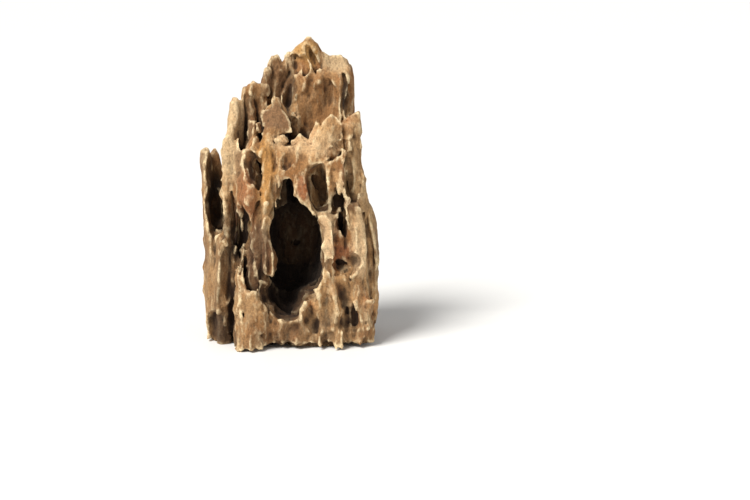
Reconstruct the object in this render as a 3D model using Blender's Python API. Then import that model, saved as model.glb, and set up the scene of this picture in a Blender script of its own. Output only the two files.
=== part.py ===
"""Dragon stone: one upright piece of weathered clay rock, worn into spires, flutes, slots and a cave.

The stone is a single natural solid. Upright ribs are lofted and fused, hollows are cut out of them,
a broken ledge is added, upright wear grooves are pressed into the skin, and the foot is cut flat.
The frame is metres, +Z up, with the origin at the middle of the flat foot and the front facing -Y.
"""

import math
from collections import deque

import bmesh
import bpy
from mathutils import Euler, Matrix, Vector, noise

# Driving dimensions. The tables below are drawn in millimetres for a stone DRAWN_HEIGHT tall.
STONE_HEIGHT = 0.298
DRAWN_HEIGHT = 297.0
UNIT = STONE_HEIGHT / DRAWN_HEIGHT
DRAWN_CENTRE = (0.0, 2.6)

# Fineness of the solid, in drawn millimetres and triangles.
CLAY_GRAIN = 2.5
RIB_SIDES = 24
HOLLOW_ROUNDNESS = 3
TRIANGLE_BUDGET = 9000

# Wear that runs up the stone: crest spacing, crest height and depth of each set of grooves.
GROOVES = ((17.0, 90.0, 3.0), (9.0, 50.0, 1.2))
CREST_WIDTH = 0.30
SMOOTHING_ROUNDS = 2

STONE_COLOUR = (0.42, 0.27, 0.14, 1.0)
STONE_ROUGHNESS = 0.92

# Each rib: name, squareness, turn about Z in degrees, and rows from the foot up of
# height, x, y, half width and half depth.
RIBS = (
    ("core", 2.8, 0, (
        (-6, 1, 4, 82, 50), (37, 2, 6, 80, 50), (87, 6, 8, 74, 44), (137, 5, 11, 69, 38),
        (187, 3, 14, 62, 32), (216, 2, 16, 57, 27), (237, 9, 19, 48, 21), (255, 16, 24, 42, 17),
        (266, 21, 26, 36, 12), (272, 24, 27, 29, 8))),
    ("peak", 2.3, 15, (
        (206, 14, 20, 26, 18), (251, 16, 24, 24, 14), (273, 16, 24, 22, 12), (281, 16, 24, 18, 11),
        (288, 16, 24, 13, 10), (295, 18, 24, 8, 7), (299, 19, 24, 4, 4))),
    ("ridge_right", 2.2, 0, (
        (245, 36, 24, 14, 12), (268, 34, 25, 12, 9), (278, 33, 25, 8, 7), (282, 32, 25, 2.5, 4))),
    ("ridge_middle", 2.0, 0, (
        (206, 7, 18, 12, 12), (245, 7, 22, 12, 12), (269, 2, 24, 11, 10), (277, 0, 24, 9, 7),
        (282, -1, 24, 5, 5))),
    ("horn_left", 2.4, 20, (
        (138, -17, 4, 14, 18), (217, -14, 8, 14, 18), (246, -14, 15, 13, 13), (264, -14, 18, 12, 9),
        (276, -14, 18, 9, 7), (280, -15, 18, 6, 4))),
    ("plate_right", 4.0, -6, (
        (136, 54, 20, 16, 20), (205, 51, 24, 12, 16), (245, 48, 24, 10, 14), (257, 48, 24, 12, 12),
        (266, 48, 25, 12, 9), (274, 46, 27, 11, 6), (277, 44, 29, 8, 3))),
    ("rib_right", 2.2, 0, (
        (84, 61, 22, 11, 18), (164, 62, 30, 9, 18), (204, 60, 33, 8, 15), (234, 59, 34, 6.5, 12),
        (253, 59, 34, 6, 9), (268, 58, 32, 2, 5))),
    ("shoulder_upper", 2.5, 25, (
        (101, -38, -8, 14, 20), (170, -36, -4, 14, 20), (208, -35, 0, 13, 18),
        (237, -38, 3, 12, 13), (251, -39, 4, 9, 10), (256, -38, 4, 5, 6))),
    ("shoulder", 2.5, -20, (
        (-6, -61, -14, 21, 36), (64, -61, -22, 14, 28), (114, -57, -24, 10, 22),
        (153, -58, -20, 9, 20), (181, -55, -16, 9, 18), (205, -53, -11, 9.5, 16),
        (224, -51, -8, 11, 13), (237, -51, -6, 10, 9.5), (242, -51, -6, 6, 6))),
    ("left_fin", 2.3, 10, (
        (-6, -73, 0, 16, 36), (28, -77, 0, 14, 32), (69, -79, 0, 12, 28), (109, -81, 2, 9.5, 24),
        (148, -82, 4, 8, 19), (178, -80, 5, 7.5, 13), (186, -80, 6, 6, 9), (189, -78, 6, 2.5, 4))),
    ("left_back", 2.2, -15, (
        (-6, -60, 13, 18, 24), (76, -64, 15, 14, 18), (126, -70, 17, 12, 14),
        (160, -72, 19, 10, 11), (180, -74, 20, 7, 8), (186, -74, 20, 2.5, 4))),
    ("web", 2.0, 0, (
        (125, -34, -41, 2.5, 4), (136, -34, -40, 7, 8), (148, -36, -38, 12, 11),
        (169, -37, -32, 14, 14), (192, -38, -24, 14, 14), (220, -36, -12, 11, 12))),
    ("saddle_mass", 2.2, 10, (
        (159, -26, 2, 14, 18), (208, -26, 4, 14, 16), (237, -26, 8, 14, 12), (249, -29, 9, 9, 9),
        (254, -30, 9, 3, 5))),
    ("golden_column", 2.2, 0, (
        (-6, -33, -18, 24, 36), (75, -30, -26, 15, 24), (120, -23, -30, 11, 16),
        (147, -19, -34, 12, 14), (174, -19, -32, 13, 14), (198, -19, -28, 12, 11),
        (211, -19, -24, 8, 7))),
    ("left_bridge", 2.2, 0, (
        (-6, -48, -24, 13, 30), (45, -47, -30, 11, 22), (84, -46, -34, 9, 15),
        (130, -46, -31, 9, 13), (173, -46, -26, 9, 13), (191, -46, -16, 6, 8))),
    ("lower_left", 2.3, 0, (
        (-6, -35, -26, 27, 39), (77, -32, -35, 17, 24), (106, -30, -36, 15, 17),
        (131, -27, -34, 12, 13), (143, -24, -32, 8, 7))),
    ("front_wall", 2.8, 0, (
        (-6, 26, -20, 61, 37), (45, 31, -28, 57, 29), (96, 32, -34, 50, 21), (131, 30, -36, 47, 17),
        (160, 25, -37, 43, 15), (184, 23, -35, 39, 12), (197, 22, -32, 36, 9), (202, 21, -31, 32, 6))),
    ("tooth_left", 2.0, 30, (
        (179, -6, -34, 12, 9), (196, -5, -32, 12, 8), (204, -4, -31, 9, 5), (208, -3, -31, 4, 3))),
    ("tooth_middle", 2.0, 0, (
        (189, 16, -33, 12, 8), (202, 14, -30, 9, 5), (208, 13, -30, 2, 3))),
    ("tooth_step", 2.0, -30, (
        (184, 26, -34, 12, 9), (203, 29, -31, 11, 7), (214, 30, -30, 5.5, 5), (219, 30, -30, 1.5, 3))),
    ("tooth_right", 2.2, 20, (
        (184, 40, -34, 16, 10), (211, 41, -30, 14, 8), (221, 42, -29, 8, 5), (226, 43, -29, 2, 3))),
    ("right_post", 2.4, -25, (
        (-6, 68, -12, 20, 36), (52, 72, -17, 17, 30), (83, 73, -20, 16, 27),
        (114, 71, -22, 15.5, 24), (144, 67, -24, 14, 20), (173, 64, -24, 12, 16),
        (197, 62, -22, 12, 13), (216, 62, -19, 11, 10), (224, 66, -17, 6, 7), (228, 69, -17, 2, 3))),
    ("strut", 2.2, 0, (
        (-6, 44, -28, 18, 24), (46, 45, -34, 15, 20), (90, 41, -40, 9, 12), (113, 37, -42, 6, 9),
        (135, 34, -41, 4.5, 7))),
    ("back_outer_left", 2.2, 20, (
        (-6, -56, 40, 24, 20), (91, -52, 37, 19, 18), (154, -46, 32, 17, 14),
        (205, -43, 27, 11, 10), (215, -41, 26, 4, 5))),
    ("back_inner_left", 2.2, -15, (
        (-6, -20, 51, 24, 17), (131, -15, 46, 18, 14), (193, -11, 40, 15, 12), (238, -9, 35, 10, 8),
        (250, -7, 34, 4, 4))),
    ("back_inner_right", 2.2, 10, (
        (-6, 26, 52, 26, 17), (110, 27, 49, 20, 15), (172, 26, 44, 16, 11), (211, 26, 41, 10, 7),
        (221, 26, 40, 3, 4))),
    ("back_outer_right", 2.2, -25, (
        (-6, 59, 40, 23, 20), (70, 61, 40, 19, 18), (132, 58, 39, 15, 13), (171, 57, 36, 11, 9),
        (184, 57, 34, 4, 4))),
)

# Each hollow: name, centre, radii, lean of its top towards +X, lean towards +Y, and squareness.
HOLLOWS = (
    ("crown_face", (32, -12, 246), (22, 19, 42), -3, -12, 3.0),
    ("crown_groove_left", (20, 8, 241), (4, 7, 26), 2, 0, 2.0),
    ("crown_groove_outer", (11, 3, 239), (4, 9, 24), 0, 0, 2.0),
    ("peak_groove", (24, 16, 276), (2, 7, 11), -18, 0, 2.0),
    ("crown_groove_right", (39, 9, 239), (3.5, 6, 24), -3, 0, 2.0),
    ("peak_chip", (15, 9, 270), (5, 7, 10), 0, -10, 2.2),
    ("horn_face", (-16, -15, 247), (11, 16, 20), 0, -20, 2.4),
    ("horn_hole", (-22, -6, 238), (3, 9, 7), 0, 0, 2.0),
    ("pit", (15, -15, 213), (15, 12, 20), 0, 0, 2.4),
    ("pit_floor", (18, -10, 206), (8, 14, 14), 0, 0, 2.0),
    ("crown_valley", (-3, 4, 260), (3.5, 10, 14), 2, -12, 2.0),
    ("crown_slot", (-1, 2, 242), (4.5, 15, 19), 2, 0, 2.0),
    ("crown_hole", (5, 12, 269), (3, 8, 6), 0, 0, 2.0),
    ("crack", (57, 12, 239), (2.5, 13, 21), -5, 0, 2.2),
    ("shoulder_scoop", (-39, -26, 222), (6, 14, 30), 12, -8, 2.0),
    ("shoulder_scoop_low", (-48, -46, 169), (4.5, 9, 20), 8, 0, 2.0),
    ("leaf", (-32, -43, 176), (5.5, 14, 19), -15, 0, 2.0),
    ("golden_panel", (-19, -48, 182), (8, 11, 36), 2, 4, 2.6),
    ("tongue_undercut", (-41, -42, 123), (5, 10, 9), 0, 0, 2.0),
    ("wall_flute", (48, -54, 166), (6, 8, 18), 4, 0, 2.0),
    ("post_flute", (55, -53, 108), (7.5, 11, 42), 4, 0, 2.0),
    ("wall_nick", (45, -50, 190), (2, 8, 6), 45, 0, 2.0),
    ("post_ledge", (65, -50, 142), (5, 10, 8), 0, 0, 2.6),
    ("left_slot", (-49, -44, 112), (4.5, 24, 27), 0, 0, 2.0),
    ("fin_channel", (-71, -15, 168), (6.5, 17, 24), -3, 0, 2.0),
    ("fin_slot", (-71, -22, 131), (7, 34, 22), -3, 0, 2.0),
    ("cave", (7, -36, 98), (24, 47, 39), -6, 0, 3.0),
    ("cave_foot", (1, -44, 60), (12.5, 39, 25.5), 16, 0, 2.2),
    ("cave_side", (-27, -69, 98), (13, 22, 36), 0, 0, 2.2),
    ("cave_arch", (-1, -24, 139), (11, 41, 23), 0, 0, 2.0),
    ("cave_depth", (5, -6, 94), (25, 28, 39), 0, 0, 2.6),
    ("window", (31, -42, 157), (8, 22, 19.5), -7, 0, 3.0),
    ("slit_upper", (49, -44, 143), (5, 22, 10.5), 12, 0, 2.0),
    ("slit_lower", (52, -44, 120), (4.5, 22, 12), -6, 0, 2.0),
    ("right_pocket", (53, -51, 85), (11, 14, 8), 16, 0, 2.0),
    ("post_groove", (59, -44, 170), (3, 10, 21), 0, 0, 2.0),
    ("front_groove", (-36, -60, 90), (6.5, 14, 30), 0, 0, 2.0),
    ("shoulder_groove", (-56, -50, 65), (4, 12, 26), 0, 0, 2.0),
    ("foot_nick_front", (13, -66, 25), (16, 16, 14), 0, 0, 2.0),
    ("foot_nick_left", (-75, -30, 13), (6, 14, 16), 0, 0, 2.0),
    ("side_flute", (87, 6, 138), (8, 12, 34), 0, 0, 2.0),
    ("side_flute_low", (100, 14, 50), (10, 14, 26), 0, 0, 2.0),
    ("side_flute_high", (76, 10, 197), (9, 9, 26), 0, 0, 2.0),
    ("back_flute_left", (-30, 56, 170), (6, 14, 48), 3, 6, 2.0),
    ("back_flute_middle", (6, 64, 138), (7, 14, 60), -3, 5, 2.0),
    ("back_flute_right", (43, 58, 149), (7, 14, 50), 4, 6, 2.0),
    ("back_hole_left", (-36, 62, 91), (8, 22, 17), 8, 0, 2.3),
    ("back_hole_low", (13, 72, 61), (9, 24, 26), -6, 0, 2.3),
    ("back_hole_right", (47, 62, 101), (6, 20, 14), 0, 0, 2.0),
    ("back_hole_high", (-8, 52, 191), (5, 14, 15), 10, 0, 2.0),
    ("back_hole_corner", (-67, 44, 67), (8, 18, 22), 0, 0, 2.0),
    ("back_chip", (32, 46, 258), (14, 10, 26), -8, 8, 2.2),
)

# The broken shelf left of the crown, its root, and small spikes. They are drawn as the hollows are.
LEDGES = (
    ("shelf", (-11, -21, 223), (17, 5.5, 16), -18, 20, 4.0),
    ("shelf_root", (-11, -7, 215), (15, 13, 20), 0, 12, 2.4),
    ("saddle", (-28, 9, 248), (14, 11, 11), 0, 0, 2.8),
    ("spike_a", (-20, 17, 278), (2, 3.5, 5), -20, 0, 2.0),
    ("shelf_knob", (-13, -15, 240), (6, 6, 8.5), 0, 6, 4.0),
)


def clear_scene():
    """Removes the objects that the file opens with."""
    for obj in list(bpy.data.objects):
        bpy.data.objects.remove(obj, do_unlink=True)


def signed_power(value, power):
    """The power of a number's size, with its own sign."""
    return math.copysign(abs(value) ** power, value)


def add_rib(bm, rows, squareness, turn):
    """Adds one closed loft whose level sections are rounded rectangles."""
    spin = Matrix.Rotation(math.radians(turn), 3, "Z")
    rings = []
    for height, x, y, half_width, half_depth in rows:
        ring = []
        for step in range(RIB_SIDES):
            angle = 2 * math.pi * step / RIB_SIDES
            across = half_width * signed_power(math.cos(angle), 2 / squareness)
            deep = half_depth * signed_power(math.sin(angle), 2 / squareness)
            ring.append(bm.verts.new(spin @ Vector((across, deep, 0)) + Vector((x, y, height))))
        rings.append(ring)
    for lower, upper in zip(rings, rings[1:]):
        for step in range(RIB_SIDES):
            after = (step + 1) % RIB_SIDES
            bm.faces.new((lower[step], lower[after], upper[after], upper[step]))
    bm.faces.new(list(reversed(rings[0])))
    bm.faces.new(rings[-1])


def add_lump(bm, centre, radii, lean_x, lean_y, squareness):
    """Adds one closed egg, which grows boxier as its squareness rises above two."""
    made = bmesh.ops.create_icosphere(bm, subdivisions=HOLLOW_ROUNDNESS, radius=1.0)
    turn = Euler((math.radians(-lean_y), math.radians(lean_x), 0)).to_matrix()
    for vert in made["verts"]:
        reach = sum(abs(part) ** squareness for part in vert.co) ** (-1 / squareness)
        shaped = Vector([part * reach * radius for part, radius in zip(vert.co, radii)])
        vert.co = turn @ shaped + Vector(centre)


def object_from(name, bm):
    """A new object in the scene that holds this mesh."""
    mesh = bpy.data.meshes.new(name)
    bmesh.ops.recalc_face_normals(bm, faces=bm.faces)
    bm.to_mesh(mesh)
    bm.free()
    obj = bpy.data.objects.new(name, mesh)
    bpy.context.scene.collection.objects.link(obj)
    return obj


def fuse(obj):
    """Makes one skin of the closed shapes in an object."""
    remesh = obj.modifiers.new("fuse", "REMESH")
    remesh.mode = "VOXEL"
    remesh.voxel_size = CLAY_GRAIN


def cut(obj, name, cutter, operation):
    """Adds a Boolean with a cutter that isn't part of the stone."""
    cutter.hide_render = True
    cutter.display_type = "WIRE"
    boolean = obj.modifiers.new(name, "BOOLEAN")
    boolean.operation = operation
    boolean.solver = "EXACT"
    boolean.object = cutter


def settled_mesh(obj):
    """A bmesh of the object with its modifiers worked in."""
    graph = bpy.context.evaluated_depsgraph_get()
    bm = bmesh.new()
    bm.from_object(obj, graph)
    return bm


def keep_largest_shell(bm):
    """Deletes crumbs and sealed bubbles, which are shells of their own."""
    unseen = set(bm.verts)
    shells = []
    while unseen:
        start = unseen.pop()
        shell = [start]
        queue = deque(shell)
        while queue:
            for edge in queue.popleft().link_edges:
                for vert in edge.verts:
                    if vert in unseen:
                        unseen.remove(vert)
                        shell.append(vert)
                        queue.append(vert)
        shells.append(shell)
    shells.sort(key=len)
    spare = [vert for shell in shells[:-1] for vert in shell]
    bmesh.ops.delete(bm, geom=spare, context="VERTS")


def wear_grooves(bm):
    """Presses upright grooves into the skin and leaves sharp crests between them."""
    bm.normal_update()
    moves = {}
    for vert in bm.verts:
        depth = 0.0
        for spacing, height, deepest in GROOVES:
            point = Vector((vert.co.x / spacing, vert.co.y / spacing, vert.co.z / height))
            depth += deepest * min(abs(noise.noise(point)) / CREST_WIDTH, 1.0)
        moves[vert] = vert.normal * depth
    for vert, move in moves.items():
        vert.co -= move


def rough_stone():
    """The fused ribs with the hollows cut out, as a bmesh in drawn millimetres."""
    ribs = bmesh.new()
    for _, squareness, turn, rows in RIBS:
        add_rib(ribs, rows, squareness, turn)
    body = object_from("ribs", ribs)
    fuse(body)
    hollows = bmesh.new()
    for _, centre, radii, lean_x, lean_y, squareness in HOLLOWS:
        add_lump(hollows, centre, radii, lean_x, lean_y, squareness)
    cutter = object_from("hollows", hollows)
    fuse(cutter)
    cut(body, "hollows", cutter, "DIFFERENCE")
    bm = settled_mesh(body)
    for _, centre, radii, lean_x, lean_y, squareness in LEDGES:
        add_lump(bm, centre, radii, lean_x, lean_y, squareness)
    for obj in (body, cutter):
        bpy.data.objects.remove(obj, do_unlink=True)
    return bm


def worn_stone():
    """The whole worn stone above and below its foot, as a bmesh in metres."""
    lumps = object_from("worn", rough_stone())
    fuse(lumps)
    bm = settled_mesh(lumps)
    bpy.data.objects.remove(lumps, do_unlink=True)
    keep_largest_shell(bm)
    wear_grooves(bm)
    for _ in range(SMOOTHING_ROUNDS):
        bmesh.ops.smooth_vert(
            bm, verts=bm.verts, factor=0.35, use_axis_x=True, use_axis_y=True, use_axis_z=True
        )
    shift = Matrix.Translation((-DRAWN_CENTRE[0], -DRAWN_CENTRE[1], 0))
    bmesh.ops.transform(bm, matrix=Matrix.Scale(UNIT, 4) @ shift, verts=bm.verts)
    return bm


def flat_foot_block():
    """A block that stands on the ground plane and reaches round the whole stone."""
    bm = bmesh.new()
    bmesh.ops.create_cube(bm, size=2 * STONE_HEIGHT)
    bmesh.ops.translate(bm, vec=(0, 0, STONE_HEIGHT), verts=bm.verts)
    return object_from("flat_foot_block", bm)


def stone_material():
    """Dry ochre clay rock."""
    material = bpy.data.materials.new("ochre_clay_rock")
    material.use_nodes = True
    shader = material.node_tree.nodes["Principled BSDF"]
    shader.inputs["Base Color"].default_value = STONE_COLOUR
    shader.inputs["Roughness"].default_value = STONE_ROUGHNESS
    shader.inputs["Metallic"].default_value = 0.0
    return material


def build():
    """Models the stone."""
    clear_scene()
    stone = object_from("dragon_stone", worn_stone())
    thin = stone.modifiers.new("thin", "DECIMATE")
    thin.ratio = TRIANGLE_BUDGET / (2 * len(stone.data.polygons))
    cut(stone, "flat_foot", flat_foot_block(), "INTERSECT")
    stone.data.materials.append(stone_material())
    stone.data.shade_smooth()


build()
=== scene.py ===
"""Dragon stone: the worn surface and finish of one upright piece of clay rock, on a pale floor.

The stone is sculpted as clay in a grid of distances. Upright ribs are added, hollows are carved,
and wear then cuts crests, bowls and pits into the skin. The clay becomes one closed mesh, and a
rock finish is laid on it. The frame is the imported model's: metres, +Z up, the origin at the middle
of the flat foot and the front facing -Y. The tables below are drawn in millimetres.
"""

import logging
import math
from dataclasses import dataclass, field
from enum import Enum
from typing import Any

import bmesh
import bpy
import numpy as np
import openvdb
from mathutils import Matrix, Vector
from numpy.typing import NDArray


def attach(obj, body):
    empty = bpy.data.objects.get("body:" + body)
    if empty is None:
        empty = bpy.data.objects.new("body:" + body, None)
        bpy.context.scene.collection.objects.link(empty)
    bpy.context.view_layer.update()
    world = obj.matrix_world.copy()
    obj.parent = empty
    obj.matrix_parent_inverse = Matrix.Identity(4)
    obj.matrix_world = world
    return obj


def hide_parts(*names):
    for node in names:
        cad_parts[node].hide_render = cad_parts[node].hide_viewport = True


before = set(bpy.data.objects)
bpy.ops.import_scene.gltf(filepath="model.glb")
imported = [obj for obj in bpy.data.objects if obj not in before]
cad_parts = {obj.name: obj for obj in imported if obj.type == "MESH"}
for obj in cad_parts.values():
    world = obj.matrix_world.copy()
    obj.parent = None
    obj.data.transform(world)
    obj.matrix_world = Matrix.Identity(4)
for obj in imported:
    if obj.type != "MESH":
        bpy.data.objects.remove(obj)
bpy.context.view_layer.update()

LOG = logging.getLogger("dragon_stone")
Field = NDArray[np.float32]
Spot = tuple[float, float, float]

METRES = 0.001
# The stone is drawn 297 mm tall and stands 298 mm tall, with the middle of its box over the origin.
STONE_SCALE = 298.0 / 297.0
DRAWN_CENTRE = (0.0, 2.6)

# Each rib: name, blend, squareness, turn about Z in degrees, and rows from the foot up of
# height, x, y, half width and half depth.
RIBS = (
    ("core", 6, 2.8, 0, (
        (-6, 1, 4, 82, 50), (37, 2, 6, 80, 50), (87, 6, 8, 74, 44), (137, 5, 11, 69, 38),
        (187, 3, 14, 62, 32), (216, 2, 16, 57, 27), (237, 9, 19, 48, 21), (255, 16, 24, 42, 17),
        (266, 21, 26, 36, 12), (272, 24, 27, 29, 8))),
    ("peak", 3, 1.8, 15, (
        (206, 14, 20, 27, 18.5), (251, 16, 24, 24.5, 14.5),
        (273, 16, 24, 23.5, 12.5), (281, 16, 24, 20.5, 11.5),
        (287, 15.5, 24, 15, 10), (292, 18, 24, 9.5, 7), (297, 18.5, 24, 5, 4))),
    ("ridge_right", 3, 1.7, 0, (
        (245, 36, 24, 14.5, 12.5), (268, 34, 25, 12.5, 9.5),
        (278, 33, 25, 8, 7), (282, 32, 25, 2.5, 4))),
    ("ridge_middle", 3, 1.8, 0, (
        (206, 7, 18, 12.5, 12.5), (245, 7, 22, 12.5, 12.5),
        (269, 2, 24, 11.5, 10.5), (277, 0, 24, 9.5, 7),
        (282, -1, 24, 6, 5))),
    ("horn_left", 3, 1.8, 20, (
        (138, -16, 4, 14.5, 18.5), (217, -14, 8, 14.5, 18.5),
        (246, -14, 15, 13.5, 13.5), (264, -14, 18, 12.5, 9.5),
        (276, -14, 18, 10.5, 7), (280, -15, 18, 7, 4))),
    ("plate_right", 2, 4.0, -6, (
        (136, 54, 20, 16, 20), (205, 51, 24, 12, 16), (245, 48, 24, 10, 14), (257, 48, 24, 12, 12),
        (266, 48, 25, 12, 9), (274, 46, 27, 11, 6), (277, 44, 29, 8, 3))),
    ("rib_right", 2, 1.8, 0, (
        (84, 61, 22, 11.5, 18.5), (164, 62, 30, 9.5, 18.5),
        (204, 60, 33, 8, 15.5), (234, 59, 34, 6.5, 12.5),
        (253, 59, 34, 6, 9.5), (268, 58, 32, 2, 5))),
    ("shoulder_upper", 3, 1.8, 25, (
        (101, -38, -8, 14.5, 20.5), (170, -36, -4, 14.5, 20.5),
        (208, -35, 0, 13.5, 18.5), (237, -38, 3, 13, 13.5),
        (251, -39, 4, 9.5, 10.5), (256, -38, 4, 5, 6))),
    ("shoulder", 3, 1.8, -20, (
        (-6, -61, -14, 21.5, 37), (64, -61, -22, 14.5, 29),
        (114, -57, -24, 10.5, 22.5), (153, -58, -20, 9.5, 20.5),
        (181, -55, -16, 9.5, 18.5), (205, -53, -11, 10, 16.5),
        (224, -51, -8, 11.5, 13.5), (237, -51, -6, 11, 10),
        (242, -51, -6, 6.5, 6))),
    ("left_fin", 3, 1.9, 10, (
        (-6, -72, 0, 15.5, 37), (28, -76, 0, 13.5, 33),
        (69, -78, 0, 11.5, 29), (109, -80, 2, 9, 24.5),
        (148, -81, 4, 7.5, 19.5), (178, -80, 5, 7.5, 13.5),
        (186, -80, 6, 6, 9.5), (189, -78, 6, 2.5, 4))),
    ("left_back", 3, 1.8, -15, (
        (-6, -60, 13, 18.5, 24.5), (76, -64, 15, 14.5, 18.5),
        (126, -70, 17, 12.5, 14.5), (160, -72, 19, 10.5, 11.5),
        (180, -74, 20, 7, 8), (186, -74, 20, 2.5, 4))),
    ("web", 4, 1.8, 0, (
        (125, -34, -41, 2.5, 4), (136, -34, -40, 7, 8),
        (148, -36, -38, 12.5, 11.5), (169, -37, -32, 14.5, 14.5),
        (192, -38, -24, 14.5, 14.5), (220, -36, -12, 11.5, 12.5))),
    ("saddle_mass", 3, 1.9, 10, (
        (159, -26, 2, 14.5, 18.5), (208, -26, 4, 14.5, 16.5),
        (237, -26, 8, 14.5, 12.5), (249, -29, 9, 9.5, 9.5),
        (254, -30, 9, 3, 5))),
    ("golden_column", 3, 1.8, 0, (
        (-6, -33, -18, 24.5, 37), (75, -30, -26, 15.5, 24.5),
        (120, -23, -30, 11.5, 16.5), (147, -19, -34, 12.5, 14.5),
        (174, -19, -32, 13.5, 14.5), (198, -19, -28, 12.5, 11.5), (211, -19, -24, 8, 7))),
    ("left_bridge", 3, 1.8, 0, (
        (-6, -48, -24, 13.5, 31), (45, -47, -30, 11.5, 22.5),
        (84, -46, -34, 9.5, 15.5), (130, -46, -31, 9.5, 13.5),
        (173, -46, -26, 9.5, 13.5), (191, -46, -16, 6, 8))),
    ("lower_left", 4, 1.9, 0, (
        (-6, -35, -26, 28, 36.5), (77, -32, -35, 17.5, 23.5),
        (106, -30, -36, 15.5, 17.5), (131, -27, -34, 12.5, 13.5),
        (143, -24, -32, 8, 7))),
    ("front_wall", 4, 2.8, 0, (
        (-6, 26, -20, 61, 37), (45, 31, -28, 57, 29),
        (96, 32, -34, 50, 21), (131, 30, -36, 47, 17),
        (160, 25, -37, 43, 15), (184, 23, -35, 39, 12),
        (197, 22, -32, 36, 9), (202, 21, -31, 32, 6))),
    ("tooth_left", 3, 1.6, 30, (
        (179, -6, -34, 12.5, 9.5), (196, -5, -32, 12.5, 8),
        (204, -4, -31, 9.5, 5), (208, -3, -31, 4, 3))),
    ("tooth_middle", 3, 1.6, 0, (
        (189, 16, -33, 12.5, 8), (202, 14, -30, 9.5, 5), (208, 13, -30, 2, 3))),
    ("tooth_step", 3, 1.6, -30, (
        (184, 26, -34, 12.5, 9.5), (203, 29, -31, 11.5, 7),
        (214, 30, -30, 5.5, 5), (219, 30, -30, 1.5, 3))),
    ("tooth_right", 3, 1.7, 20, (
        (184, 40, -34, 16.5, 10.5), (211, 41, -30, 14.5, 8),
        (221, 42, -29, 8, 5), (226, 43, -29, 2, 3))),
    ("right_post", 3, 1.9, -25, (
        (-6, 68, -12, 19.5, 37), (52, 72, -17, 16.5, 31),
        (83, 73, -20, 16, 28), (114, 71, -22, 15.5, 24.5),
        (144, 67, -24, 14, 20.5), (173, 64, -24, 12.5, 16.5),
        (197, 62, -22, 12.5, 13.5), (216, 62, -19, 11.5, 10.5),
        (224, 66, -17, 6, 7), (228, 69, -17, 2, 3))),
    ("strut", 3, 1.8, 0, (
        (-6, 44, -28, 18.5, 24.5), (46, 45, -34, 15.5, 20.5),
        (90, 41, -40, 9.5, 12.5), (113, 37, -42, 6, 9.5),
        (135, 34, -41, 4.5, 7))),
    ("back_outer_left", 4, 1.8, 20, (
        (-6, -56, 40, 24.5, 20.5), (91, -52, 37, 19.5, 18.5),
        (154, -46, 32, 17.5, 14.5), (205, -43, 27, 11.5, 10.5),
        (215, -41, 26, 4, 5))),
    ("back_inner_left", 4, 1.8, -15, (
        (-6, -20, 51, 24.5, 17.5), (131, -15, 46, 18.5, 14.5),
        (193, -11, 40, 15.5, 12.5), (238, -9, 35, 10.5, 8),
        (250, -7, 34, 4, 4))),
    ("back_inner_right", 4, 1.8, 10, (
        (-6, 26, 52, 27, 17.5), (110, 27, 49, 20.5, 15.5),
        (172, 26, 44, 16.5, 11.5), (211, 26, 41, 10.5, 7),
        (221, 26, 40, 3, 4))),
    ("back_outer_right", 4, 1.8, -25, (
        (-6, 59, 40, 23.5, 20.5), (70, 61, 40, 19.5, 18.5),
        (132, 58, 39, 15.5, 13.5), (171, 57, 36, 11.5, 9.5),
        (184, 57, 34, 4, 4))),
)

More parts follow.
